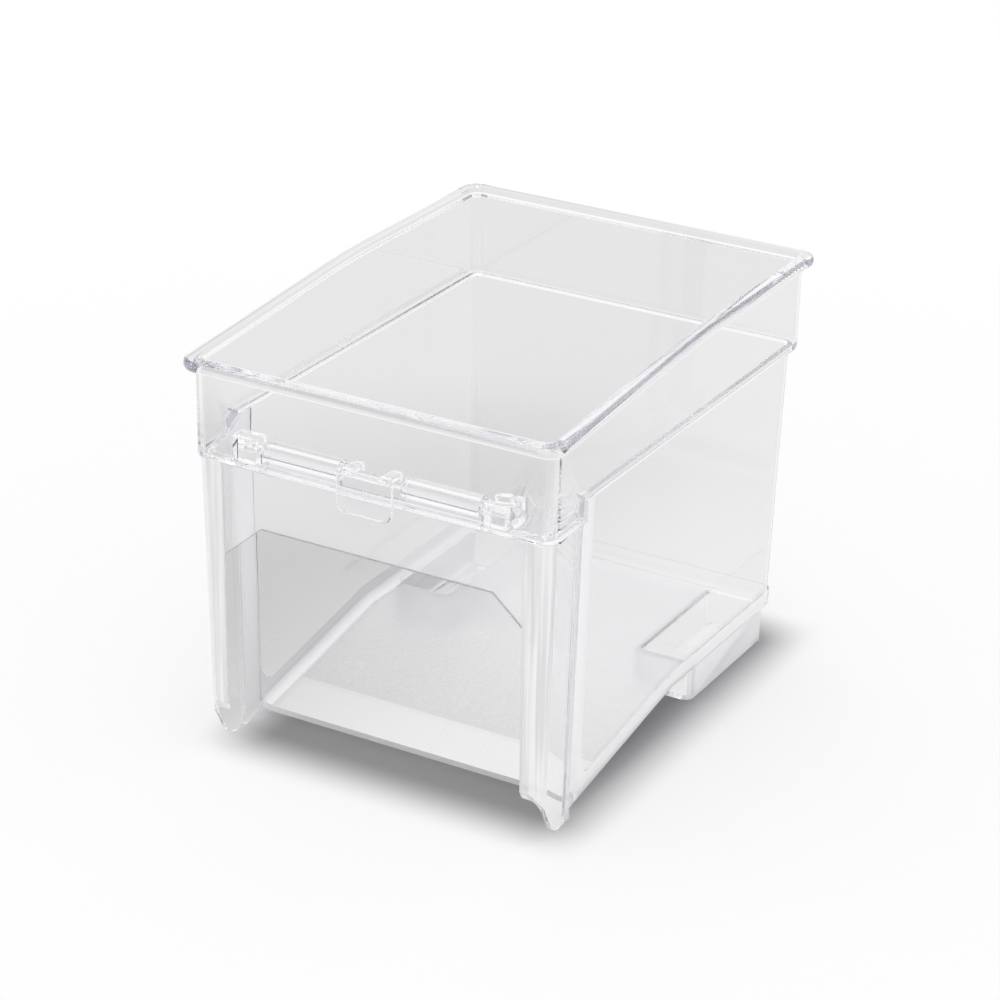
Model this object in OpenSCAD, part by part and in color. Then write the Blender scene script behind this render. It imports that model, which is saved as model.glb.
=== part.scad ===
// Clear stacking bin for craft supplies and small parts. The rim is level at the rear and drops to the
// front, the floor slopes down to an open front, and a hung flap closes the top of the hand opening.
// X runs to the right, Y to the rear and Z up, with the origin on the ground under the middle of the rim.

/* [Rim and collar] */

// Width over the rim flange
rim_w = 150; // [135:1:180]
// Depth over the rim flange
rim_d = 200; // [180:1:240]
// Height of the rim at the rear
rear_rim_z = 159; // [155:0.5:175]
// Height of the rim at the front
front_rim_z = 151.5; // [145:0.5:154]
// Length of the level rear stretch of the rim
level_d = 92; // [80:1:100]
// Half length of the rounded bend in the rim
bend_half = 14; // [8:1:20]
// Overhang of the flange outside the collar wall
rim_over = 3.4; // [2.5:0.1:4.5]
// Height of the flange
rim_h = 4.2; // [3:0.1:6]
// Wall thickness of the moulding
wall = 1.8; // [1.5:0.1:2.2]
// Corner radius of the flange
rim_r = 7; // [5:0.5:10]
// Corner radius of the collar
corner_r = 6; // [5:0.5:9]

/* [Tub and floor] */

// Height of the inward step under the collar
step_z = 123; // [121:0.5:128]
// Inward step from the collar to the tub wall
tub_in = 2.6; // [2.5:0.1:2.8]
// Taper of the walls below the step, in degrees
draft_deg = 1.1; // [0.6:0.1:1.4]
// Corner radius of the tub
tub_r = 5; // [4:0.5:7]
// Height of the underside of the level rear floor
floor_z = 14.2; // [13:0.1:16]
// Thickness of the floor
floor_t = 2.2; // [1.8:0.1:2.6]
// Slope of the front floor, in degrees
floor_deg = 9.8; // [9:0.1:10.5]
// Distance of the floor's front edge behind the rim
floor_front = 37; // [34:0.5:42]
// Inside radius between the walls and the floor
cove_r = 4; // [2.5:0.5:4.5]
// Outside radius along the bottom edges
edge_r = 4; // [2.5:0.5:4.5]

/* [Side frames] */

// Inward step from the collar to the raised frame around each side wall
frame_in = 1.9; // [1.8:0.1:2]
// Width of the frame along the front of the side wall
frame_d = 9.2; // [8:0.2:10]
// Height of the frame along the bottom of the side wall
sill_h = 8.6; // [8:0.1:10]
// Corner radius inside the frame
frame_r = 8; // [6:0.5:10]

/* [Front posts and feet] */

// Inward step from the collar to the front posts
post_in = 1.2; // [1.1:0.1:1.3]
// Length of each post along the side
post_d = 23.2; // [22:0.2:24]
// Width of the narrow return on each post, from the outside of the post
jamb_w = 10.4; // [9.6:0.1:12]
// Radius of the front foot tips
tip_r = 6; // [5:0.5:7]
// Length of the level rest under each front foot tip
tip_rest = 4.5; // [3:0.5:6]
// Slant of the front edge above the foot tips, in degrees
rake_deg = 60.5; // [56:0.5:63]
// Radius of the sweep from the back of each post to its foot
sweep_r = 9; // [6:0.5:10]
// Length of the rear foot blocks
block_d = 63; // [50:1:68]
// Width of the rear foot blocks
block_w = 26; // [20:1:32]
// Inset of the rear foot blocks from the outside of the tub
block_in = 1.2; // [1:0.1:2]
// Corner radius of the rear foot blocks
block_r = 4; // [3:0.5:6]

/* [Ledge and hinge] */

// Height of the underside of the front ledge
ledge_z = 115; // [114:0.5:116]
// Depth of the ledge from the front face of the collar
ledge_d = 4.5; // [4:0.1:4.6]
// Length along the sides of the deeper front part of the collar
hood_d = 25.6; // [22:0.2:28]
// Height of the hinge axis above the underside of the ledge
axis_up = 6.5; // [6.4:0.1:7]
// Distance of the hinge axis behind the front face of the collar
axis_in = 6; // [6:0.1:6.6]
// Radius of the hinge rod
rod_r = 1.5; // [1.3:0.1:1.7]
// Clearance of the rod in its saddles
saddle_gap = 0.05; // [0.03:0.01:0.08]
// Clearance of the rod in the flap's barrels
run_gap = 0.08; // [0.04:0.01:0.1]
// Length of each saddle block along the rod
saddle_w = 9.5; // [8:0.5:11]
// Depth of each saddle block behind the axis
saddle_back = 4; // [3.5:0.1:4.4]
// Height of each saddle block above the axis
saddle_up = 4; // [3.5:0.1:5]

/* [Front flap] */

// Distance from the outer ends of the barrels to the edge of the opening
barrel_inset = 17; // [16:0.5:24]
// Outer radius of the barrels
barrel_r = 3.8; // [3.4:0.1:3.8]
// Gap between the barrels and the saddle blocks
barrel_gap = 2.6; // [1:0.1:3]
// Thickness of the panel
flap_t = 2; // [1.6:0.1:2.2]
// Overlap of the panel behind each post
flap_lap = 3; // [1:0.1:4]
// Drop of the panel's shoulders below the axis
shoulder_drop = 9; // [8.6:0.1:10]
// Drop of the middle of the panel below the axis
flap_drop = 31; // [26:0.5:36]
// Length of each slanted bottom corner along the width
corner_run = 16.5; // [12:0.5:22]
// Slant of the bottom corners, in degrees
corner_deg = 41; // [35:1:43]

/* [Keeper clip] */

// Width of the finger tab
tab_w = 22; // [19:0.5:24]
// Thickness of the finger tab
tab_t = 1.6; // [1.2:0.1:2]
// Reach of the finger tab below the ledge
tab_drop = 5.5; // [4:0.5:8]
// Corner radius of the finger tab
tab_r = 3; // [2:0.5:3.5]
// Width of each prong
prong_w = 4; // [3:0.1:5]
// Thickness of the prongs
prong_t = 2; // [1.6:0.1:2]
// Gap between the clip and the parts around it
clip_gap = 0.1; // [0.05:0.01:0.15]
// Gap along the rod from the clip to each barrel
clip_side = 1.5; // [1:0.1:2]
// Depth of the notch under the clip below the axis
notch_drop = 5.6; // [5.4:0.1:6.5]

/* [Hidden] */

$fn = 48;
thin = 0.1;
over = 20;
bend_steps = 6;
arc_steps = 8;
clear = [0.86, 0.88, 0.92, 0.45];

front_y = -rim_d / 2;
rear_y = rim_d / 2;
bend_y = rear_y - level_d;
rim_fall = (rear_rim_z - front_rim_z) / (bend_y - front_y);

collar_w = rim_w - 2 * rim_over;
collar_d = rim_d - 2 * rim_over;
collar_front = -collar_d / 2;

floor_slope = tan(floor_deg);
post_back = front_y + rim_over + post_in + post_d;
frame_back = post_back + frame_d;
tub_front = frame_back - wall;
lip_y = front_y + floor_front;

tip_y = bend_y - (floor_z + tip_r * (1 / cos(floor_deg) - 1)) / floor_slope;
post_front = collar_front + post_in;
rake_y = tip_y - tip_rest - tip_r * sin(rake_deg);
rake_z = tip_r - tip_r * cos(rake_deg);
rake_top = rake_z + (rake_y - post_front) * tan(rake_deg);

jamb_half = collar_w / 2 - post_in - jamb_w;
flap_half = jamb_half + flap_lap;
edge_half = flap_half - corner_run;
barrel_half = jamb_half - barrel_inset;

hood_back = collar_front + hood_d;
axis_y = collar_front + axis_in;
axis_z = ledge_z + axis_up;
saddle_x = barrel_half + barrel_gap;
rod_half = saddle_x + saddle_w - wall;

prong_x = tab_w / 2 - prong_w / 2 - tab_r / 2;
prong_z = axis_z + rod_r + clip_gap;
barrel_in = tab_w / 2 + clip_side;

// Height of the rim along the depth, with a rounded bend.
function rim_at(y) =
    y >= bend_y + bend_half ? rear_rim_z
    : y <= bend_y - bend_half ? rear_rim_z - (bend_y - y) * rim_fall
    : rear_rim_z - rim_fall * pow(bend_y + bend_half - y, 2) / (4 * bend_half);

// Height of the underside of the floor along the depth.
function under_at(y) = y >= bend_y ? floor_z : floor_z - (bend_y - y) * floor_slope;

bend_line = [for (i = [0 : bend_steps]) bend_y - bend_half + 2 * bend_half * i / bend_steps];
rim_line = concat([front_y], bend_line, [rear_y]);

// Side profile in Y and Z, extruded across the width.
module across(w) {
    rotate([90, 0, 90])
        linear_extrude(w, center = true)
            children();
}

// Front profile in X and Z, extruded to the rear from y.
module rearward(y, t) {
    translate([0, y + t, 0])
        rotate([90, 0, 0])
            linear_extrude(t)
                children();
}

module box(x0, x1, y0, y1, z0, z1) {
    translate([x0, y0, z0])
        cube([x1 - x0, y1 - y0, z1 - z0]);
}

module both_sides() {
    children();
    mirror([1, 0, 0])
        children();
}

module rounded(w, d, r) {
    square([w - 2 * r, d], center = true);
    square([w, d - 2 * r], center = true);
    for (x = [-1, 1], y = [-1, 1])
        translate([x * (w / 2 - r), y * (d / 2 - r)])
            circle(r);
}

module slab(inset, r, z0, z1) {
    translate([0, 0, z0])
        linear_extrude(z1 - z0)
            rounded(collar_w - 2 * inset, collar_d - 2 * inset, r);
}

// Tapered block below the collar, inset at its top and running in by the draft to the ground.
module tapered(inset, r, top) {
    hull() {
        slab(inset, r, top, top + thin);
        slab(inset + top * tan(draft_deg), r, 0, thin);
    }
}

module below_rim() {
    across(rim_w + over)
        polygon(concat([for (y = rim_line) [y, rim_at(y)]], [[rear_y, 0], [front_y, 0]]));
}

module rim_band() {
    across(rim_w + over)
        polygon(concat(
            [for (y = rim_line) [y, rim_at(y)]],
            [for (i = [len(rim_line) - 1 : -1 : 0]) [rim_line[i], rim_at(rim_line[i]) - rim_h]]
        ));
}

module collar_wall() {
    intersection() {
        difference() {
            union() {
                slab(0, corner_r, ledge_z, rear_rim_z);
                intersection() {
                    slab(-rim_over, rim_r, ledge_z, rear_rim_z);
                    rim_band();
                }
            }
            slab(wall, corner_r - wall, 0, rear_rim_z + over);
            box(-rim_w, rim_w, hood_back, rim_d, 0, step_z);
        }
        below_rim();
    }
}

// Level step at the sides and rear, and the wall that closes the deeper front part behind.
module step_shelf() {
    difference() {
        intersection() {
            slab(0, corner_r, ledge_z, step_z + wall);
            union() {
                box(-rim_w, rim_w, hood_back - wall, rim_d, step_z, step_z + wall);
                box(-rim_w, rim_w, hood_back - wall, hood_back, ledge_z, step_z + wall);
            }
        }
        slab(tub_in + wall, tub_r - wall, 0, rear_rim_z);
    }
}

// Ledge under the front wall, carried back along the sides over the posts.
module ledge_shelf() {
    difference() {
        intersection() {
            slab(0, corner_r, ledge_z, ledge_z + wall);
            box(-rim_w, rim_w, front_y, hood_back, ledge_z, ledge_z + wall);
        }
        box(-jamb_half, jamb_half, collar_front + ledge_d, rim_d, 0, step_z);
        slab(ledge_d, tub_r, 0, step_z);
    }
}

// Side view of the tub, down to the underside of the floor.
module tub_profile() {
    across(rim_w + over)
        polygon([
            [lip_y, under_at(lip_y)],
            [bend_y, floor_z],
            [rear_y, floor_z],
            [rear_y, rear_rim_z],
            [tub_front, rear_rim_z],
            [tub_front, under_at(lip_y) + floor_t],
            [lip_y, under_at(lip_y) + floor_t]
        ]);
}

module above_floor() {
    across(rim_w + over)
        polygon([
            [front_y, under_at(front_y) + floor_t],
            [bend_y, floor_z + floor_t],
            [rear_y, floor_z + floor_t],
            [rear_y, rear_rim_z],
            [front_y, rear_rim_z]
        ]);
}

module tub_shell() {
    difference() {
        intersection() {
            tapered(tub_in, tub_r, step_z);
            tub_profile();
        }
        intersection() {
            tapered(tub_in + wall, tub_r - wall, step_z + wall);
            above_floor();
        }
    }
}

// Fillet in side view between an upright edge at y and a line that runs h above the underside.
module inner_corner(y, h, r) {
    cy = y + r;
    cz = under_at(cy) + h + r / cos(floor_deg);
    turn = (90 + floor_deg) / arc_steps;
    polygon(concat(
        [
            [y - wall / 2, cz],
            [y - wall / 2, under_at(y - wall / 2) + h - wall / 2],
            [cy + r * sin(floor_deg), cz - r * cos(floor_deg) - wall / 2]
        ],
        [for (i = [0 : arc_steps]) [cy, cz] + r * [sin(floor_deg - i * turn), -cos(floor_deg - i * turn)]]
    ));
}

// Side view of the raised frame: a band behind the post, carried along the bottom to the rear.
module frame_profile() {
    across(rim_w + over)
        union() {
            polygon([
                [post_back - wall, under_at(post_back - wall)],
                [bend_y, floor_z],
                [rear_y, floor_z],
                [rear_y, floor_z + sill_h],
                [bend_y, floor_z + sill_h],
                [frame_back, under_at(frame_back) + sill_h],
                [frame_back, step_z + wall],
                [hood_back - wall, step_z + wall],
                [hood_back - wall, ledge_z + wall],
                [post_back - wall, ledge_z + wall]
            ]);
            inner_corner(frame_back, sill_h, frame_r);
        }
}

module side_frames() {
    intersection() {
        difference() {
            tapered(frame_in, tub_r, step_z + wall);
            tapered(frame_in + wall, tub_r - wall, step_z + wall + thin);
        }
        frame_profile();
    }
}

// Corner left outside a round of radius r, with the corner of the walls at the origin.
module corner_profile(r) {
    turn = 90 / arc_steps;
    polygon(concat(
        [[-r, -wall / 2], [wall / 2, -wall / 2], [wall / 2, r]],
        [for (i = [0 : arc_steps]) [r * (cos(i * turn) - 1), r * (1 - sin(i * turn))]]
    ));
}

// Corner piece along both sides and the rear at the height z of the level floor, and down its slope.
module bottom_corners(inset, r, z, front) {
    x = collar_w / 2 - inset - (step_z - z - r) * tan(draft_deg);
    y = collar_d / 2 - inset - (step_z - z - r) * tan(draft_deg);
    both_sides()
        union() {
            translate([x, 0, z])
                rearward(bend_y, y - bend_y)
                    corner_profile(r);
            translate([x, bend_y, z])
                rotate([floor_deg, 0, -atan(tan(draft_deg) * floor_slope)])
                    rearward(-front, front + wall)
                        corner_profile(r);
        }
    translate([0, y, z])
        across(2 * x)
            corner_profile(r);
}

// Side view of a post: upright front edge, slanted lower edge, round foot tip and sloping underside.
module post_profile() {
    across(rim_w + over)
        union() {
            polygon([
                [post_front, ledge_z + wall],
                [post_front, rake_top],
                [rake_y, rake_z],
                [tip_y - tip_rest, tip_r],
                [tip_y - tip_rest, 0],
                [tip_y, 0],
                [tip_y + tip_r * sin(floor_deg), tip_r - tip_r * cos(floor_deg)],
                [post_back, under_at(post_back)],
                [post_back, ledge_z + wall]
            ]);
            for (y = [tip_y - tip_rest, tip_y])
                translate([y, tip_r])
                    circle(tip_r);
            inner_corner(post_back, 0, sweep_r);
        }
}

module posts() {
    intersection() {
        difference() {
            tapered(post_in, tub_r, ledge_z + wall);
            tapered(post_in + wall, tub_r - wall, ledge_z + wall + thin);
            box(-jamb_half, jamb_half, front_y, 0, 0, rear_rim_z);
        }
        post_profile();
    }
}

// Rear foot in plan, drawn in by t from its outside.
module foot_block(t, z0, z1) {
    x1 = collar_w / 2 - tub_in - step_z * tan(draft_deg) - block_in;
    y1 = collar_d / 2 - tub_in - step_z * tan(draft_deg) - block_in;
    translate([x1 - block_w / 2, y1 - block_d / 2, z0])
        linear_extrude(z1 - z0)
            rounded(block_w - 2 * t, block_d - 2 * t, block_r - t);
}

module rear_block() {
    foot_block(0, 0, floor_z + floor_t);
}

module rear_well() {
    foot_block(wall, wall, floor_z + over);
}

// Block on the ledge with an open-topped saddle for the rod.
module saddle() {
    box(
        saddle_x, saddle_x + saddle_w,
        collar_front + wall / 2, axis_y + saddle_back,
        ledge_z + wall / 2, axis_z + saddle_up
    );
}

module saddle_slot() {
    r = rod_r + saddle_gap;
    translate([saddle_x - over, axis_y, axis_z])
        rotate([0, 90, 0])
            cylinder(r = r, h = over + saddle_w - wall + saddle_gap);
    box(saddle_x - over, rod_half + saddle_gap, axis_y - r, axis_y + r, axis_z, axis_z + saddle_up + over);
}

module prong_window() {
    box(
        prong_x - prong_w / 2 - clip_gap, prong_x + prong_w / 2 + clip_gap,
        collar_front - wall, collar_front + 2 * wall,
        prong_z - clip_gap, prong_z + prong_t + clip_gap
    );
}

// Tub, side frames and posts, rounded along the floor inside and along the bottom edges outside.
module rounded_tub() {
    difference() {
        union() {
            tub_shell();
            side_frames();
            posts();
            bottom_corners(tub_in + wall, cove_r, floor_z + floor_t, (bend_y - lip_y) / cos(floor_deg));
        }
        bottom_corners(frame_in, edge_r, floor_z, bend_y - post_back);
    }
}

module bin_body() {
    color(clear)
        difference() {
            union() {
                collar_wall();
                step_shelf();
                ledge_shelf();
                rounded_tub();
                both_sides()
                    rear_block();
                both_sides()
                    saddle();
            }
            both_sides()
                rear_well();
            both_sides()
                saddle_slot();
            both_sides()
                prong_window();
        }
}

module hinge_rod() {
    color(clear)
        translate([0, axis_y, axis_z])
            rotate([0, 90, 0])
                cylinder(r = rod_r, h = 2 * rod_half, center = true);
}

module barrel(x0, x1, r) {
    translate([x0, axis_y, axis_z])
        rotate([0, 90, 0])
            cylinder(r = r, h = x1 - x0);
}

// Right half of the panel: shoulder beside the barrel, slanted bottom corner, notch for the clip.
module flap_half_panel() {
    corner_z = axis_z - flap_drop - corner_run * tan(corner_deg);
    notch_z = axis_z - notch_drop;
    rearward(axis_y - flap_t / 2, flap_t)
        polygon([
            [0, axis_z - flap_drop],
            [edge_half, axis_z - flap_drop],
            [flap_half, corner_z],
            [flap_half, axis_z - shoulder_drop],
            [barrel_half, axis_z - shoulder_drop],
            [barrel_half, axis_z],
            [barrel_in, axis_z],
            [barrel_in, notch_z],
            [0, notch_z]
        ]);
}

module front_flap() {
    color(clear)
        difference() {
            both_sides()
                union() {
                    flap_half_panel();
                    barrel(barrel_in, barrel_half, barrel_r);
                }
            barrel(-rim_w / 2, rim_w / 2, rod_r + run_gap);
        }
}

module prong() {
    y0 = collar_front - clip_gap - tab_t / 2;
    hook_y = axis_y + rod_r + clip_gap;
    x0 = prong_x - prong_w / 2;
    x1 = prong_x + prong_w / 2;
    box(x0, x1, y0, hook_y + tab_t, prong_z, prong_z + prong_t);
    box(x0, x1, hook_y, hook_y + tab_t, axis_z, prong_z + prong_t);
}

module keeper_clip() {
    tab_h = prong_z + prong_t - ledge_z + tab_drop;
    color(clear)
        union() {
            rearward(collar_front - clip_gap - tab_t, tab_t)
                translate([0, ledge_z - tab_drop + tab_h / 2])
                    rounded(tab_w, tab_h, tab_r);
            both_sides()
                prong();
        }
}

bin_body();
front_flap();
hinge_rod();
keeper_clip();
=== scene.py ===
import math

import bmesh
import bpy
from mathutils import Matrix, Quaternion, Vector


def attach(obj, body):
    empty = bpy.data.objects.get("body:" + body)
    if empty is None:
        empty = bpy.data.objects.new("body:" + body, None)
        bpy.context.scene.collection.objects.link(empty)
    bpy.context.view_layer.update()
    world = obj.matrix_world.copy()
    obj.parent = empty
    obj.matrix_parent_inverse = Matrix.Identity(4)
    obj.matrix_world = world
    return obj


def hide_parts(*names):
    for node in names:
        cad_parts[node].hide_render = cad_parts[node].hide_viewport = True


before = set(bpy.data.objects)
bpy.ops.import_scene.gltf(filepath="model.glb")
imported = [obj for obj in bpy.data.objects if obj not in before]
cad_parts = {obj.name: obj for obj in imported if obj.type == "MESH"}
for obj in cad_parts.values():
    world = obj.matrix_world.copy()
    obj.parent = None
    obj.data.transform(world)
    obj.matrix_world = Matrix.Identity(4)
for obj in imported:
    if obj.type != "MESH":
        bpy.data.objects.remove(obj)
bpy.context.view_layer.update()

MM = 0.001
SHARP_ANGLE = math.radians(32)
FLAT_ANGLE = math.radians(0.5)
# Gap that is closed and sliver that is taken out when a solid is copied, in millimetres
JOIN_GAP, SLIVER = 0.008, 0.02
# Furthest that a rounded point may lie from its solid, in millimetres
STRAY = 0.6
# Solid that each dressed piece copies
SOLID_OF = {
    "bin_moulding": "bin_body",
    "flap_panel": "front_flap",
    "hinge_pin": "hinge_rod",
    "keeper_tab": "keeper_clip",
}

# Place of the camera
AZIMUTH, ELEVATION, ROLL = (math.radians(turn) for turn in (29.19, 24.50, 1.28))
FOCAL_PIXELS, PICTURE_PIXELS, SIDE_PIXELS = 3183.6, 1000, 8
SENSOR_MM = 36
AIM = Vector((0.00075, 0.00035, 0.0783))
DISTANCE = 1.16565
OUT = Vector((
    math.sin(AZIMUTH) * math.cos(ELEVATION),
    -math.cos(AZIMUTH) * math.cos(ELEVATION),
    math.sin(ELEVATION),
))

# Heights and places of the bin's own forms, in millimetres. X is measured from the middle to either side.
HALF_WIDTH, HALF_DEPTH = 75, 100
LEVEL_SLACK, SIDE_SLACK, ROUND_SLACK = 0.05, 0.3, 0.15
RIM_LOW = 140
RIM_OUT_X, RIM_OUT_Y = 74.9, 99.9
RIM_CORNER_R = 7
RIM_IN_X, RIM_IN_Y, RIM_IN_R = 69.8, 94.8, 6
RIM_MID_X, RIM_MID_Y = 71, 96
LEDGE_Z, STEP_Z = 115, 123
HOOD_BACK_Y = -71
COLLAR_X, COLLAR_FRONT_Y, COLLAR_REAR_Y = 71.4, -91, 96.4
LEDGE_CORNER_X, LEDGE_CORNER_Y = 68, -88
STEP_CORNER_X, STEP_CORNER_Y, STEP_CORNER_R = 65.6, 90.6, 5.9
WALL_X, WALL_TAPER = 71.6, math.tan(math.radians(1.1))
FRAME_INSETS = 1.9, 3.7
FLOOR_TOP_Z, FLOOR_HALF, FLOOR_BACK_Y = 16.4, 61, 87
SATIN_FRONT_Y = -43
WELL_DEPTH_Z = 2.2
FLOOR_LIP_Y, LIP_TOP_Z, LIP_HALF, LIP_FACE_HALF = -63, 8, 63, 64
COVE_X, COVE_TOP_Z = 57, 24
FLOOR_EDGE_X, FLOOR_EDGE_Z = 60, 20
BLOCK_FRONT_Y = 20
BLOCK_SIDE_X, BLOCK_SIDE_Y, BLOCK_TOP_Z = 63.5, 26, 14
JAMB_X, JAMB_Y, JAMB_LOW_Z = 60, -90, 15
POST_X, POST_Y = 59, -86
FLAP_EDGE_Z = 105

# Crowded corners, where a round would not fit: least x, ends in y and ends in z, in millimetres
OPEN = 1000
CROWDED = (
    (58, (2, 18), (-OPEN, 22)),         # bend of the floor
    (58, (-OPEN, -58), (-OPEN, 14)),    # front foot
    (46, (-96, -85), (116, 126)),       # rod saddle
    (60, (84, OPEN), (-OPEN, 3)),       # rear corner of the block
)


def alone(piece):
    """Leave one piece selected and active."""
    bpy.ops.object.select_all(action="DESELECT")
    piece.select_set(True)
    bpy.context.view_layer.objects.active = piece


def whole_copy(node, name):
    """Copy a solid's mesh, with its loose triangles joined and its flat faces made whole."""
    piece = bpy.data.objects.new(name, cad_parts[node].data.copy())
    bpy.context.scene.collection.objects.link(piece)
    alone(piece)
    bpy.ops.object.mode_set(mode="EDIT")
    bpy.ops.mesh.select_all(action="SELECT")
    bpy.ops.mesh.remove_doubles(threshold=JOIN_GAP * MM)
    bpy.ops.mesh.dissolve_degenerate(threshold=SLIVER * MM)
    bpy.ops.mesh.tris_convert_to_quads(face_threshold=FLAT_ANGLE, shape_threshold=math.pi)
    bpy.ops.object.mode_set(mode="OBJECT")
    return piece


def round_edges(piece, width, steps, place):
    """Round the sharp edges whose two ends, in millimetres, lie where place says."""
    alone(piece)
    bpy.ops.object.mode_set(mode="EDIT")
    bpy.ops.mesh.select_mode(type="EDGE")
    bpy.ops.mesh.select_all(action="DESELECT")
    bpy.ops.mesh.edges_select_sharp(sharpness=SHARP_ANGLE)
    shape = bmesh.from_edit_mesh(piece.data)
    chosen = [
        edge for edge in shape.edges
        if edge.select and all(place(end.co / MM) for end in edge.verts)
    ]
    bpy.ops.mesh.select_all(action="DESELECT")
    for edge in chosen:
        edge.select_set(True)
    bmesh.update_edit_mesh(piece.data)
    bpy.ops.mesh.bevel(
        offset=width * MM, offset_type="OFFSET", segments=steps, profile=0.5, affect="EDGES",
        clamp_overlap=False
    )
    bpy.ops.object.mode_set(mode="OBJECT")
    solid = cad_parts[SOLID_OF[piece.name]]
    for point in piece.data.vertices:
        found, on_solid, _, _ = solid.closest_point_on_mesh(point.co)
        if found and (on_solid - point.co).length > STRAY * MM:
            point.co = on_solid


def finish_moulding(piece):
    """Shade the faces as one smooth moulding."""
    alone(piece)
    bpy.ops.object.shade_smooth_by_angle(angle=SHARP_ANGLE)
    flat = piece.modifiers.new("flat_faces", "WEIGHTED_NORMAL")
    flat.keep_sharp = True
    flat.weight = 80
    bpy.ops.object.modifier_apply(modifier="flat_faces")


# Materials


def moulding_skin():
    """Faint ripple of a moulded face and the fine grain of a satin one."""
    group = bpy.data.node_groups.new("moulding_skin", "ShaderNodeTree")
    face = group.interface
    for label, start in (
        ("Ripple Scale", 60.0), ("Grain Scale", 1500.0), ("Grain", 0.2), ("Gloss", 0.03), ("Break", 0.03)
    ):
        socket = face.new_socket(label, in_out="INPUT", socket_type="NodeSocketFloat")
        socket.default_value = start
    face.new_socket("Height", in_out="OUTPUT", socket_type="NodeSocketFloat")
    face.new_socket("Roughness", in_out="OUTPUT", socket_type="NodeSocketFloat")
    nodes, links = group.nodes, group.links
    given = nodes.new("NodeGroupInput")
    result = nodes.new("NodeGroupOutput")
    place = nodes.new("ShaderNodeTexCoord")
    ripple = nodes.new("ShaderNodeTexNoise")
    ripple.inputs["Detail"].default_value = 1
    grain = nodes.new("ShaderNodeTexNoise")
    grain.inputs["Detail"].default_value = 3
    grain.inputs["Roughness"].default_value = 0.65
    links.new(place.outputs["Object"], ripple.inputs["Vector"])
    links.new(place.outputs["Object"], grain.inputs["Vector"])
    links.new(given.outputs["Ripple Scale"], ripple.inputs["Scale"])
    links.new(given.outputs["Grain Scale"], grain.inputs["Scale"])
    height = nodes.new("ShaderNodeMix")
    height.data_type = "FLOAT"
    links.new(given.outputs["Grain"], height.inputs["Factor"])
    links.new(ripple.outputs["Fac"], height.inputs["A"])
    links.new(grain.outputs["Fac"], height.inputs["B"])
    links.new(height.outputs["Result"], result.inputs["Height"])
    rough = nodes.new("ShaderNodeMath")
    rough.operation = "MULTIPLY_ADD"
    links.new(ripple.outputs["Fac"], rough.inputs[0])
    links.new(given.outputs["Break"], rough.inputs[1])
    links.new(given.outputs["Gloss"], rough.inputs[2])
    links.new(rough.outputs["Value"], result.inputs["Roughness"])
    return group


SKIN = moulding_skin()
POLISHED = {"Ripple Scale": 45, "Grain Scale": 900, "Grain": 0.05}
SMOOTH_BUMP, SATIN_BUMP, BUMP_MM = 0.05, 0.35, 0.1
REFRACTION = 1.57
TINT, TINT_DENSITY = (0.72, 0.71, 0.88, 1), 2.5


def plastic(name, colour, clearness, shade, skin_values, bump=SMOOTH_BUMP):
    """Clear moulded plastic with a plain tinted veil for shadows and for the light of matt faces."""
    material = bpy.data.materials.new(name)
    material.use_nodes = True
    nodes, links = material.node_tree.nodes, material.node_tree.links
    body = nodes["Principled BSDF"]
    body.inputs["Base Color"].default_value = (*colour, 1)
    body.inputs["IOR"].default_value = REFRACTION
    body.inputs["Transmission Weight"].default_value = clearness
    skin = nodes.new("ShaderNodeGroup")
    skin.node_tree = SKIN
    for label, value in skin_values.items():
        skin.inputs[label].default_value = value
    relief = nodes.new("ShaderNodeBump")
    relief.inputs["Strength"].default_value = bump
    relief.inputs["Distance"].default_value = BUMP_MM * MM
    links.new(skin.outputs["Height"], relief.inputs["Height"])
    links.new(relief.outputs["Normal"], body.inputs["Normal"])
    links.new(skin.outputs["Roughness"], body.inputs["Roughness"])
    path = nodes.new("ShaderNodeLightPath")
    veil = nodes.new("ShaderNodeBsdfTransparent")
    veil.inputs["Color"].default_value = (*shade, 1)
    pick = nodes.new("ShaderNodeMixShader")
    soft_light = nodes.new("ShaderNodeMath")
    soft_light.operation = "MAXIMUM"
    links.new(path.outputs["Is Shadow Ray"], soft_light.inputs[0])
    links.new(path.outputs["Is Diffuse Ray"], soft_light.inputs[1])
    links.new(soft_light.outputs["Value"], pick.inputs["Fac"])
    links.new(body.outputs["BSDF"], pick.inputs[1])
    links.new(veil.outputs["BSDF"], pick.inputs[2])
    links.new(pick.outputs["Shader"], nodes["Material Output"].inputs["Surface"])
    tint = nodes.new("ShaderNodeVolumeAbsorption")
    tint.inputs["Color"].default_value = TINT
    tint.inputs["Density"].default_value = TINT_DENSITY
    links.new(tint.outputs["Volume"], nodes["Material Output"].inputs["Volume"])
    return material


clear = plastic(
    "clear_plastic", (0.992, 0.992, 0.995), 1.0, (0.93, 0.93, 0.935),
    {**POLISHED, "Gloss": 0.015, "Break": 0.03}
)
satin = plastic(
    "satin_floor", (0.9, 0.9, 0.905), 0.7, (0.85, 0.85, 0.855),
    {"Ripple Scale": 60, "Grain Scale": 1500, "Grain": 0.8, "Gloss": 0.25, "Break": 0.1}, SATIN_BUMP
)
pale = plastic(
    "pale_flap", (0.985, 0.985, 0.99), 0.75, (0.92, 0.92, 0.925),
    {**POLISHED, "Gloss": 0.02, "Break": 0.03}
)
# Painted highlight: a whiter, more matt copy of the plastic for faces that catch the light
painted_highlight = plastic(
    "painted_highlight_bend", (0.985, 0.985, 0.99), 0.3, (0.9, 0.9, 0.905),
    {**POLISHED, "Gloss": 0.1, "Break": 0.05}
)
# Painted shade: a dark copy of the plastic for the flap's lower edge
dark = plastic(
    "painted_shade_edge", (0.1, 0.1, 0.11), 0.4, (0.9, 0.9, 0.905),
    {**POLISHED, "Gloss": 0.1, "Break": 0.05}
)
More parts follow.
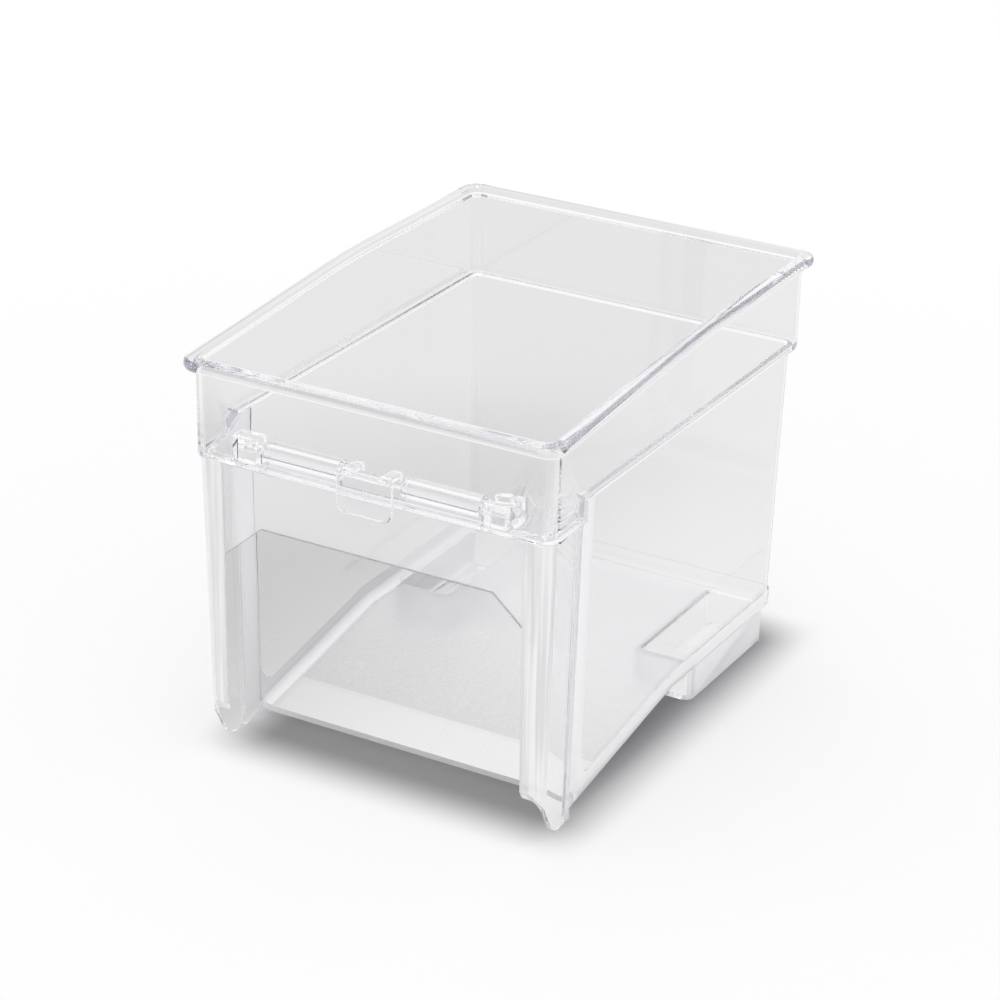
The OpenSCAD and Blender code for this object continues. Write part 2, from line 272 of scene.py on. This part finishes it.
# Painted highlight and shade: a more matt copy of the plastic for the posts, streaked pale and grey
painted_streaks = plastic(
    "painted_streaks_post", (0.98, 0.98, 0.985), 0.45, (0.9, 0.9, 0.905),
    {**POLISHED, "Gloss": 0.03, "Break": 0.03}
)

# Painted shading of the satin, from its darker front end to its paler rear stretch, in metres along Y
SPECK_SCALE, SPECK_SHARE = 900, 0.3
SATIN_SHADE_FRONT_Y, SATIN_SHADE_REAR_Y = -0.045, 0.03
SATIN_SHADE_FRONT, SATIN_SHADE_REAR = 0.66, 0.9


def grain_and_painted_shading(material):
    """Fine pale and darker specks of the satin, with painted shading that makes it a little darker towards
    the open front.
    """
    nodes, links = material.node_tree.nodes, material.node_tree.links
    place = nodes.new("ShaderNodeTexCoord").outputs["Object"]
    specks = nodes.new("ShaderNodeTexNoise")
    specks.inputs["Scale"].default_value = SPECK_SCALE
    specks.inputs["Detail"].default_value = 3
    links.new(place, specks.inputs["Vector"])
    split = nodes.new("ShaderNodeSeparateXYZ")
    links.new(place, split.inputs["Vector"])
    # Painted shading: the satin's colour is darker towards the open front and paler to the rear
    painted_shade_ramp = nodes.new("ShaderNodeMapRange")
    painted_shade_ramp.inputs["From Min"].default_value = SATIN_SHADE_FRONT_Y
    painted_shade_ramp.inputs["From Max"].default_value = SATIN_SHADE_REAR_Y
    painted_shade_ramp.inputs["To Min"].default_value = SATIN_SHADE_FRONT
    painted_shade_ramp.inputs["To Max"].default_value = SATIN_SHADE_REAR
    links.new(split.outputs["Y"], painted_shade_ramp.inputs["Value"])
    tone = nodes.new("ShaderNodeMath")
    tone.operation = "MULTIPLY_ADD"
    links.new(specks.outputs["Fac"], tone.inputs[0])
    tone.inputs[1].default_value = SPECK_SHARE
    links.new(painted_shade_ramp.outputs["Result"], tone.inputs[2])
    links.new(tone.outputs["Value"], nodes["Principled BSDF"].inputs["Base Color"])


# Painted highlight and shade streaks of the posts, on raised lines: narrow across, long upwards
STREAKS = (420, 420, 4)
STREAK_LOW, STREAK_HIGH = 0.4, 0.58
STREAK_PAINTED_SHADE, STREAK_PAINTED_HIGHLIGHT = 0.78, 1.0
STREAK_BUMP, STREAK_MM = 0.5, 0.4


def painted_post_streaks(material):
    """Upright raised lines in the posts, with pale and grey streaks painted on them as highlights and
    shade.
    """
    nodes, links = material.node_tree.nodes, material.node_tree.links
    place = nodes.new("ShaderNodeTexCoord").outputs["Object"]
    stretch = nodes.new("ShaderNodeVectorMath")
    stretch.operation = "MULTIPLY"
    stretch.inputs[1].default_value = STREAKS
    links.new(place, stretch.inputs[0])
    lines = nodes.new("ShaderNodeTexNoise")
    lines.inputs["Scale"].default_value = 1
    lines.inputs["Detail"].default_value = 2
    links.new(stretch.outputs["Vector"], lines.inputs["Vector"])
    tone = nodes.new("ShaderNodeMapRange")
    tone.inputs["From Min"].default_value = STREAK_LOW
    tone.inputs["From Max"].default_value = STREAK_HIGH
    tone.inputs["To Min"].default_value = STREAK_PAINTED_SHADE
    tone.inputs["To Max"].default_value = STREAK_PAINTED_HIGHLIGHT
    links.new(lines.outputs["Fac"], tone.inputs["Value"])
    body = nodes["Principled BSDF"]
    links.new(tone.outputs["Result"], body.inputs["Base Color"])
    relief = nodes["Bump"]
    relief.inputs["Strength"].default_value = STREAK_BUMP
    relief.inputs["Distance"].default_value = STREAK_MM * MM
    links.new(lines.outputs["Fac"], relief.inputs["Height"])


grain_and_painted_shading(satin)
painted_post_streaks(painted_streaks)

# Which faces get which finish. Normals are compared with these shares of full.
LEVEL, UPRIGHT, LEANING, TILTED, DOWNWARD = 0.9, 0.3, 0.12, 0.1, -0.5


def satin_face(face):
    """True for the top of the floor inside the bin."""
    x, y, z = face.center / MM
    inside = abs(x) < FLOOR_HALF and SATIN_FRONT_Y < y < FLOOR_BACK_Y
    return face.normal.z > LEVEL and inside and WELL_DEPTH_Z < z < FLOOR_TOP_Z + SIDE_SLACK


def post_face(face):
    """True for the corners and returns of the front posts."""
    x, y, z = face.center / MM
    return z < LEDGE_Z and abs(face.normal.z) < UPRIGHT and y < POST_Y and abs(x) > POST_X


def painted_highlight_face(face):
    """True for the side frames, the bends of the floor, the rear block, the lip's front and the floor's
    lower side edges, which catch the light: a whiter, more matt plastic there is a painted highlight.
    """
    x, y, z = face.center / MM
    n = face.normal
    out = n.x if x > 0 else -n.x
    inset = WALL_X - (STEP_Z - z) * WALL_TAPER - abs(x)
    on_frame = any(abs(inset - step) < ROUND_SLACK for step in FRAME_INSETS)
    side_frame = on_frame and abs(n.x) > LEVEL and z < LEDGE_Z
    bend = n.z > LEANING and abs(n.x) > LEANING
    cove = bend and z < COVE_TOP_Z and abs(x) > COVE_X and y > FLOOR_LIP_Y
    block = out > UPRIGHT and z < BLOCK_TOP_Z and y > BLOCK_SIDE_Y and abs(x) > BLOCK_SIDE_X
    lip = n.y < -UPRIGHT and y < FLOOR_LIP_Y + 1 and z < LIP_TOP_Z and abs(x) < LIP_FACE_HALF
    underside = n.z < -TILTED and abs(n.x) > TILTED
    edge = underside and z < FLOOR_EDGE_Z and abs(x) > FLOOR_EDGE_X
    return side_frame or cove or block or lip or edge


def under_flap(face):
    """True for the free lower edge of the flap, which looks dark through the panel and gets a painted
    shade.
    """
    return face.normal.z < DOWNWARD and face.center.z < FLAP_EDGE_Z * MM


def flap_barrel(face):
    """True for the hinge barrels and what else of the flap lies above the ledge."""
    return face.center.z > LEDGE_Z * MM


def dress(piece, materials, *tests):
    """Give the piece its materials: the first for most faces, each other where its test says."""
    piece.data.materials.clear()
    for material in materials:
        piece.data.materials.append(material)
    for face in piece.data.polygons:
        hits = [slot for slot, test in enumerate(tests, 1) if test(face)]
        face.material_index = hits[0] if hits else 0


# Bin


def cut_floor(piece):
    """Part the top of the floor where its satin stretch ends and the polished lip begins."""
    alone(piece)
    bpy.ops.object.mode_set(mode="EDIT")
    bpy.ops.mesh.select_mode(type="FACE")
    bpy.ops.mesh.select_all(action="DESELECT")
    shape = bmesh.from_edit_mesh(piece.data)
    for face in shape.faces:
        low = all(corner.co.z < (FLOOR_TOP_Z + 1) * MM for corner in face.verts)
        reaches_lip = any(corner.co.y < SATIN_FRONT_Y * MM for corner in face.verts)
        if face.normal.z > LEVEL and low and reaches_lip:
            face.select_set(True)
    bmesh.update_edit_mesh(piece.data)
    bpy.ops.mesh.bisect(plane_co=(0, SATIN_FRONT_Y * MM, 0), plane_no=(0, 1, 0))
    bpy.ops.object.mode_set(mode="OBJECT")


def on_rim_outside(p):
    """Outer edge of the flange, round its corners too."""
    if p.z < RIM_LOW:
        return False
    past_x = max(abs(p.x) - (HALF_WIDTH - RIM_CORNER_R), 0)
    past_y = max(abs(p.y) - (HALF_DEPTH - RIM_CORNER_R), 0)
    if past_x and past_y:
        return math.hypot(past_x, past_y) > RIM_CORNER_R - ROUND_SLACK
    return abs(p.x) > RIM_OUT_X or abs(p.y) > RIM_OUT_Y


def on_rim_inside(p):
    """Inner top edge of the rim."""
    by_edge = abs(p.x) > RIM_IN_X - RIM_IN_R or abs(p.y) > RIM_IN_Y - RIM_IN_R
    inside = abs(p.x) < RIM_MID_X and abs(p.y) < RIM_MID_Y
    return p.z > RIM_LOW and by_edge and inside and not on_rim_outside(p)


def on_ledge_edge(p):
    """Lower outer edge of the deep front part of the collar."""
    corner = abs(p.x) > LEDGE_CORNER_X and p.y < LEDGE_CORNER_Y
    outside = abs(p.x) > COLLAR_X or p.y < COLLAR_FRONT_Y or corner
    return abs(p.z - LEDGE_Z) < LEVEL_SLACK and p.y < HOOD_BACK_Y - SIDE_SLACK and outside


def on_step_edge(p):
    """Lower outer edge of the collar at the sides and rear."""
    past_x, past_y = max(abs(p.x) - STEP_CORNER_X, 0), max(p.y - STEP_CORNER_Y, 0)
    corner = math.hypot(past_x, past_y) > STEP_CORNER_R
    outside = abs(p.x) > COLLAR_X or p.y > COLLAR_REAR_Y or corner
    return abs(p.z - STEP_Z) < LEVEL_SLACK and p.y > HOOD_BACK_Y + SIDE_SLACK and outside


def on_lip(p):
    """Front edges of the floor."""
    return abs(p.y - FLOOR_LIP_Y) < LEVEL_SLACK and p.z < LIP_TOP_Z and abs(p.x) < LIP_HALF


def on_jamb(p):
    """Inner edges of the front posts."""
    return abs(abs(p.x) - JAMB_X) < SIDE_SLACK and p.y < JAMB_Y and p.z > JAMB_LOW_Z


def on_block_bottom(p):
    """Lower edges of the rear foot blocks."""
    return p.z < LEVEL_SLACK and p.y > BLOCK_FRONT_Y


def has_room(p):
    """Away from the crowded corners."""
    return not any(
        abs(p.x) > least_x and near_y < p.y < far_y and low_z < p.z < high_z
        for least_x, (near_y, far_y), (low_z, high_z) in CROWDED
    )


def everywhere(p):
    """Any place."""
    return True


moulding = whole_copy("bin_body", "bin_moulding")
cut_floor(moulding)
for width, steps, place in (
    (1.9, 6, on_rim_outside),
    (0.6, 3, on_rim_inside),
    (1.0, 4, on_ledge_edge),
    (0.6, 3, on_step_edge),
    (0.6, 3, on_lip),
    (0.6, 3, on_jamb),
    (1.4, 4, on_block_bottom),
    (0.25, 2, has_room),
):
    round_edges(moulding, width, steps, place)
dress(moulding, (clear, satin, painted_highlight, painted_streaks), satin_face, painted_highlight_face, post_face)
finish_moulding(moulding)
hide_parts("bin_body")
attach(moulding, "bin")

# Flap, rod and clip

for node, name, body, width in (
    ("front_flap", "flap_panel", "flap", 0.4),
    ("hinge_rod", "hinge_pin", "bin", 0.1),
    ("keeper_clip", "keeper_tab", "bin", 0.25),
):
    piece = whole_copy(node, name)
    round_edges(piece, width, 3, everywhere)
    if node == "front_flap":
        dress(piece, (pale, dark, clear), under_flap, flap_barrel)
    else:
        dress(piece, (clear,))
    finish_moulding(piece)
    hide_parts(node)
    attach(piece, body)

# Floor, backdrop and light


def calc(tree, operation, *values):
    """Math node, held between 0 and 1, whose inputs are numbers or sockets."""
    node = tree.nodes.new("ShaderNodeMath")
    node.operation = operation
    node.use_clamp = True
    for socket, value in zip(node.inputs, values):
        if isinstance(value, (int, float)):
            socket.default_value = value
        else:
            tree.links.new(value, socket)
    return node.outputs["Value"]


def ease(tree, value, start, end):
    """Smooth rise from 0 at start to 1 at end."""
    node = tree.nodes.new("ShaderNodeMapRange")
    node.interpolation_type = "SMOOTHSTEP"
    node.inputs["From Min"].default_value = start
    node.inputs["From Max"].default_value = end
    tree.links.new(value, node.inputs["Value"])
    return node.outputs["Result"]


def blend(tree, factor, first, second):
    """Mix of two greys by a socket."""
    node = tree.nodes.new("ShaderNodeMix")
    node.data_type = "RGBA"
    tree.links.new(factor, node.inputs["Factor"])
    for socket, grey in ((node.inputs["A"], first), (node.inputs["B"], second)):
        if isinstance(grey, (int, float)):
            socket.default_value = (grey, grey, grey, 1)
        else:
            tree.links.new(grey, socket)
    return node.outputs["Result"]


# Painted shadow on the paper, and tones seen through the plastic with painted shade in them: lengths in
# metres, greys from 0 to 1
SHADE_RIGHT, SHADE_LEFT, SHADE_FRONT, SHADE_REAR = 0.072, -0.066, -0.087, 0.102
SHADE_SOFT = 0.015
PAPER, PAPER_PAINTED_SHADOW = 0.98, 0.29
PAPER_THROUGH, PAPER_LEFT_PAINTED_SHADE, PAPER_NEAR, PAPER_UNDER_PAINTED_SHADOW = 0.79, 0.58, 0.84, 0.45
SIDE_FROM_X, SIDE_TO_X = -0.14, 0.02
NEAR_FROM, NEAR_TO = 0.12, 0.34
GLOW_FROM, GLOW_TO = 0.25, 0.55
PIPED_SHARE = 0.5
PAPER_SIZE, PAPER_Z = 8, -0.0002


def band(tree, value, low, high):
    """1 between low and high, fading softly to 0 outside."""
    return calc(
        tree, "MULTIPLY", ease(tree, value, low - SHADE_SOFT, low + SHADE_SOFT),
        calc(tree, "SUBTRACT", 1, ease(tree, value, high - SHADE_SOFT, high + SHADE_SOFT))
    )


def pale_paper():
    """White sheet with a painted soft even shadow under the bin, and greys with painted shade, darker to
    the left near the bin and under it, when seen through the plastic.
    """
    material = bpy.data.materials.new("pale_paper")
    material.use_nodes = True
    tree = material.node_tree
    place = tree.nodes.new("ShaderNodeTexCoord").outputs["Object"]
    split = tree.nodes.new("ShaderNodeSeparateXYZ")
    tree.links.new(place, split.inputs["Vector"])
    x, y = split.outputs["X"], split.outputs["Y"]
    # Painted shadow: the sheet's colour is darkened over a soft even rectangle under the bin
    across = band(tree, x, SHADE_LEFT, SHADE_RIGHT)
    along = band(tree, y, SHADE_FRONT, SHADE_REAR)
    under = calc(tree, "MULTIPLY", across, along)
    painted_shadow = blend(tree, under, PAPER, PAPER_PAINTED_SHADOW)
    path = tree.nodes.new("ShaderNodeLightPath")
    through = path.outputs["Is Transmission Ray"]
    reach = tree.nodes.new("ShaderNodeVectorMath")
    reach.operation = "LENGTH"
    tree.links.new(place, reach.inputs[0])
    far = calc(
        tree, "MULTIPLY", ease(tree, reach.outputs["Value"], GLOW_FROM, GLOW_TO),
        calc(tree, "MAXIMUM", path.outputs["Is Camera Ray"], path.outputs["Is Glossy Ray"])
    )
    sheet = tree.nodes["Principled BSDF"]
    sheet.inputs["Roughness"].default_value = 0.95
    sheet.inputs["Specular IOR Level"].default_value = 0.1
    tree.links.new(painted_shadow, sheet.inputs["Base Color"])
    glow = tree.nodes.new("ShaderNodeEmission")
    # Painted shade seen through the plastic: the paper's tone is darker to the left near the bin
    side_tone = blend(tree, ease(tree, x, SIDE_FROM_X, SIDE_TO_X), PAPER_LEFT_PAINTED_SHADE, PAPER_NEAR)
    near = ease(tree, reach.outputs["Value"], NEAR_FROM, NEAR_TO)
    near_tone = blend(tree, near, side_tone, PAPER_THROUGH)
    # Painted shadow under the bin, seen along paths that bounce inside the plastic; white elsewhere
    piped_tone = blend(tree, under, 1.0, PAPER_UNDER_PAINTED_SHADOW)
    piped = calc(tree, "MULTIPLY", path.outputs["Glossy Depth"], PIPED_SHARE)
    through_tone = blend(tree, piped, near_tone, piped_tone)
    tree.links.new(blend(tree, through, 1.0, through_tone), glow.inputs["Color"])
    join = tree.nodes.new("ShaderNodeMixShader")
    tree.links.new(calc(tree, "MAXIMUM", far, through), join.inputs["Fac"])
    tree.links.new(sheet.outputs["BSDF"], join.inputs[1])
    tree.links.new(glow.outputs["Emission"], join.inputs[2])
    tree.links.new(join.outputs["Shader"], tree.nodes["Material Output"].inputs["Surface"])
    return material


bpy.ops.object.select_all(action="DESELECT")
bpy.ops.mesh.primitive_plane_add(size=PAPER_SIZE, location=(0, 0, PAPER_Z))
ground = bpy.context.object
ground.name = "studio_floor"
bpy.ops.object.transform_apply(location=True)
ground.data.materials.append(pale_paper())

# White air all round, with a grey card behind the camera that shows only in reflections
AIR_LIGHT, CARD = 0.9, 0.6
CARD_FROM, CARD_TO = 0.6, 0.9
world = bpy.data.worlds.new("studio_air")
bpy.context.scene.world = world
world.use_nodes = True
tree = world.node_tree
path = tree.nodes.new("ShaderNodeLightPath")
facing = tree.nodes.new("ShaderNodeVectorMath")
facing.operation = "DOT_PRODUCT"
tree.links.new(tree.nodes.new("ShaderNodeTexCoord").outputs["Generated"], facing.inputs[0])
facing.inputs[1].default_value = OUT
seen = blend(tree, ease(tree, facing.outputs["Value"], CARD_FROM, CARD_TO), 1.0, CARD)
looked_at = calc(tree, "MAXIMUM", path.outputs["Is Camera Ray"], path.outputs["Is Glossy Ray"])
lit = blend(tree, looked_at, AIR_LIGHT, seen)
tree.links.new(
    blend(tree, path.outputs["Is Camera Ray"], lit, 1.0), tree.nodes["Background"].inputs["Color"]
)

# One weak soft lamp above
LAMP_SPOT, LAMP_SIZE, LAMP_POWER = Vector((0.05, -0.2, 2.0)), 0.5, 5
lamp = bpy.data.lights.new("top_softbox", "AREA")
lamp.shape = "RECTANGLE"
lamp.size = lamp.size_y = LAMP_SIZE
lamp.energy = LAMP_POWER
holder = bpy.data.objects.new("top_softbox", lamp)
bpy.context.scene.collection.objects.link(holder)
holder.location = LAMP_SPOT
holder.rotation_euler = (-LAMP_SPOT).to_track_quat("-Z", "Y").to_euler()

# Camera
BOUNCES, VEILS = 96, 32
roll = Quaternion((0, 0, 1), ROLL)
right = ((-OUT).to_track_quat("-Z", "Y") @ roll) @ Vector((1, 0, 0))
ahead = (-OUT - right * (SIDE_PIXELS / FOCAL_PIXELS)).normalized()
lens = bpy.data.cameras.new("camera")
lens.sensor_width = SENSOR_MM
lens.lens = FOCAL_PIXELS * SENSOR_MM / PICTURE_PIXELS
camera = bpy.data.objects.new("camera", lens)
bpy.context.scene.collection.objects.link(camera)
camera.location = AIM + OUT * DISTANCE
camera.rotation_euler = (ahead.to_track_quat("-Z", "Y") @ roll).to_euler()
scene = bpy.context.scene
scene.camera = camera
scene.view_settings.view_transform = "Standard"
scene.cycles.max_bounces = BOUNCES
scene.cycles.transmission_bounces = BOUNCES
scene.cycles.glossy_bounces = BOUNCES
scene.cycles.transparent_max_bounces = VEILS
